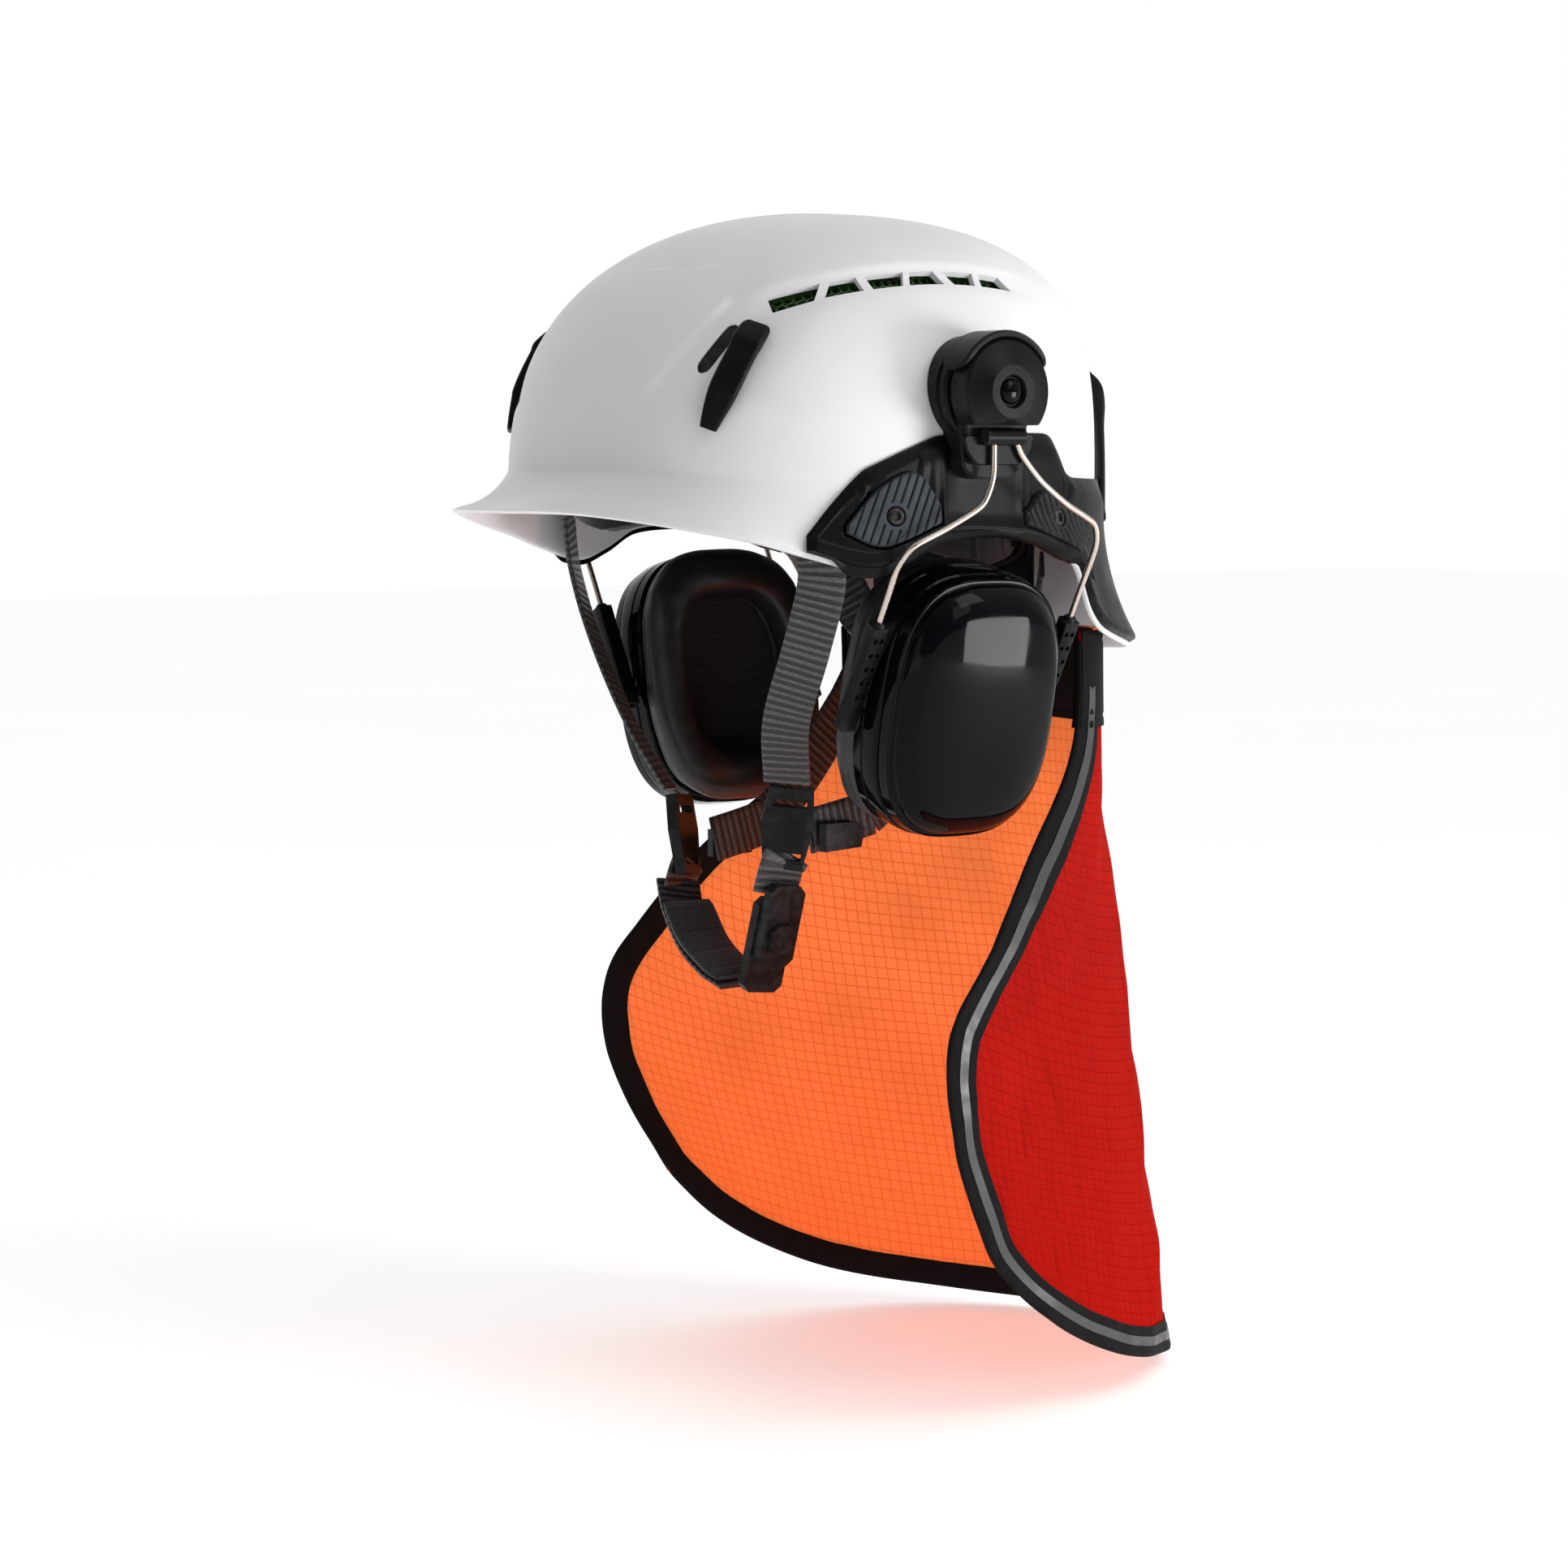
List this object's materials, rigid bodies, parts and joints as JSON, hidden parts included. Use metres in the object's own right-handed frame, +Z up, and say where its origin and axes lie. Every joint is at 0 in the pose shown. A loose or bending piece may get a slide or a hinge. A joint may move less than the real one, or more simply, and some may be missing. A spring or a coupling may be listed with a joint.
{
  "type": "forestry helmet",
  "caption": "Safety helmet for tree work with brim, vents, ear defenders on wire arms, adjustable chin harness and a curved neck cape.",
  "frame": {"origin": "centre of the head opening, level with the front brim's edge", "axes": "+Z up towards the crown, -Y the way the wearer looks, +X the wearer's left"},
  "size_m": [0.2716, 0.327, 0.4854],
  "materials": {
    "shell": "satin moulded",
    "frame": "fine matt moulded",
    "clip": "satin moulded",
    "pad_grey": "ribbed soft insert",
    "pad_dark": "ribbed soft insert",
    "liner_foam": "bead foam",
    "core": "translucent tube cells",
    "comfort_pad": "knit over foam",
    "wire": "drawn spring wire",
    "dark_steel": "blackened",
    "cup_gloss": "high gloss",
    "cushion": "soft vinyl",
    "webbing": "ribbed woven",
    "cape_fabric": "ripstop weave"
  },
  "bodies": {
    "helmet": {"outer_shell": "shell", "impact_liner": "liner_foam", "vent_core_left": "core", "vent_core_right": "core", "crown_pad": "comfort_pad", "headband": "frame", "brow_pad": "comfort_pad", "nape_cradle": "frame", "nape_pad": "comfort_pad", "lower_frame": "frame", "front_pad_left": "pad_grey", "front_pad_screw_left": "dark_steel", "rear_pad_left": "pad_dark", "rear_pad_screw_left": "dark_steel", "hub_bracket_left": "frame", "hub_pin_left": "dark_steel", "front_strap_left": "webbing", "rear_strap_left": "webbing", "strap_divider_left": "clip", "front_pad_right": "pad_grey", "front_pad_screw_right": "dark_steel", "rear_pad_right": "pad_dark", "rear_pad_screw_right": "dark_steel", "hub_bracket_right": "frame", "hub_pin_right": "dark_steel", "front_strap_right": "webbing", "rear_strap_right": "webbing", "strap_divider_right": "clip", "buckle_socket": "clip", "neck_cape": "cape_fabric", "cape_top_band": "webbing"},
    "fit_dial": {"fit_dial": "frame"},
    "chin_strap": {"chin_webbing": "webbing", "chin_pad": "comfort_pad", "buckle_tongue": "clip"},
    "release_tab": {"release_tab": "clip"},
    "front_lamp_clip_left": {"front_lamp_clip_left": "clip"},
    "rear_lamp_clip_left": {"rear_lamp_clip_left": "clip"},
    "cam_lever_left": {"cam_lever_left": "clip"},
    "muff_hub_left": {"hub_cap_left": "frame"},
    "muff_arm_left": {"wire_arm_left": "wire"},
    "muff_rails_left": {"front_rail_left": "clip", "rear_rail_left": "clip"},
    "ear_cup_left": {"cup_base_left": "clip", "cup_cover_left": "cup_gloss", "ear_cushion_left": "cushion", "cup_foam_left": "comfort_pad"},
    "front_lamp_clip_right": {"front_lamp_clip_right": "clip"},
    "rear_lamp_clip_right": {"rear_lamp_clip_right": "clip"},
    "cam_lever_right": {"cam_lever_right": "clip"},
    "muff_hub_right": {"hub_cap_right": "frame"},
    "muff_arm_right": {"wire_arm_right": "wire"},
    "muff_rails_right": {"front_rail_right": "clip", "rear_rail_right": "clip"},
    "ear_cup_right": {"cup_base_right": "clip", "cup_cover_right": "cup_gloss", "ear_cushion_right": "cushion", "cup_foam_right": "comfort_pad"}
  },
  "joints": [
    {"name": "fit_dial_turn", "type": "hinge", "parent": "helmet", "child": "fit_dial", "pos_m": [0, 0.103, -0.048], "axis": [0, 1, 0], "continuous": true},
    {"name": "chin_strap_swing", "type": "hinge", "parent": "helmet", "child": "chin_strap", "pos_m": [-0.0395, -0.038, -0.143], "axis": [0, 1, 0], "range_deg": [0, 60]},
    {"name": "release_tab_press", "type": "slide", "parent": "helmet", "child": "release_tab", "axis": [-0.2011, -0.0905, -0.9754], "range_m": [0, 0.004], "stiffness_N_per_m": 150},
    {"name": "front_lamp_clip_left_spring", "type": "hinge", "parent": "helmet", "child": "front_lamp_clip_left", "pos_m": [0.07661, -0.07528, 0.07385], "axis": [-0.7854, -0.5367, 0.3084], "range_deg": [0, 12], "stiffness_Nm_per_rad": 0.3},
    {"name": "rear_lamp_clip_left_spring", "type": "hinge", "parent": "helmet", "child": "rear_lamp_clip_left", "pos_m": [0.04441, 0.11569, 0.05784], "axis": [0.9353, -0.3513, -0.043], "range_deg": [0, 12], "stiffness_Nm_per_rad": 0.3},
    {"name": "cam_lever_left_flip", "type": "hinge", "parent": "helmet", "child": "cam_lever_left", "pos_m": [0.039, -0.02, -0.132], "axis": [0, 0, -1], "range_deg": [0, 75]},
    {"name": "muff_swivel_left", "type": "hinge", "parent": "helmet", "child": "muff_hub_left", "pos_m": [0.119, 0.006, 0.047], "axis": [1, 0, 0], "range_deg": [-3, 3]},
    {"name": "muff_swing_left", "type": "hinge", "parent": "muff_hub_left", "child": "muff_arm_left", "pos_m": [0.1265, 0.006, 0.0295], "axis": [0, -1, 0], "range_deg": [0, 30]},
    {"name": "cup_height_left", "type": "slide", "parent": "muff_arm_left", "child": "muff_rails_left", "axis": [0.4802, 0, 0.8771], "range_m": [-0.01, 0.01]},
    {"name": "cup_tilt_left", "type": "hinge", "parent": "muff_rails_left", "child": "ear_cup_left", "pos_m": [0.08179, 0.013, -0.07909], "axis": [0, -1, 0], "range_deg": [-8, 8]},
    {"name": "front_lamp_clip_right_spring", "type": "hinge", "parent": "helmet", "child": "front_lamp_clip_right", "pos_m": [-0.07661, -0.07528, 0.07385], "axis": [-0.7854, 0.5367, -0.3084], "range_deg": [0, 12], "stiffness_Nm_per_rad": 0.3},
    {"name": "rear_lamp_clip_right_spring", "type": "hinge", "parent": "helmet", "child": "rear_lamp_clip_right", "pos_m": [-0.04441, 0.11569, 0.05784], "axis": [0.9353, 0.3513, 0.043], "range_deg": [0, 12], "stiffness_Nm_per_rad": 0.3},
    {"name": "cam_lever_right_flip", "type": "hinge", "parent": "helmet", "child": "cam_lever_right", "pos_m": [-0.039, -0.02, -0.141], "axis": [0, 0, 1], "range_deg": [0, 75]},
    {"name": "muff_swivel_right", "type": "hinge", "parent": "helmet", "child": "muff_hub_right", "pos_m": [-0.119, 0.006, 0.047], "axis": [1, 0, 0], "range_deg": [-3, 3]},
    {"name": "muff_swing_right", "type": "hinge", "parent": "muff_hub_right", "child": "muff_arm_right", "pos_m": [-0.1265, 0.006, 0.0295], "axis": [0, 1, 0], "range_deg": [0, 30]},
    {"name": "cup_height_right", "type": "slide", "parent": "muff_arm_right", "child": "muff_rails_right", "axis": [-0.4802, 0, 0.8771], "range_m": [-0.01, 0.01]},
    {"name": "cup_tilt_right", "type": "hinge", "parent": "muff_rails_right", "child": "ear_cup_right", "pos_m": [-0.08179, 0.013, -0.07909], "axis": [0, 1, 0], "range_deg": [-8, 8]}
  ]
}
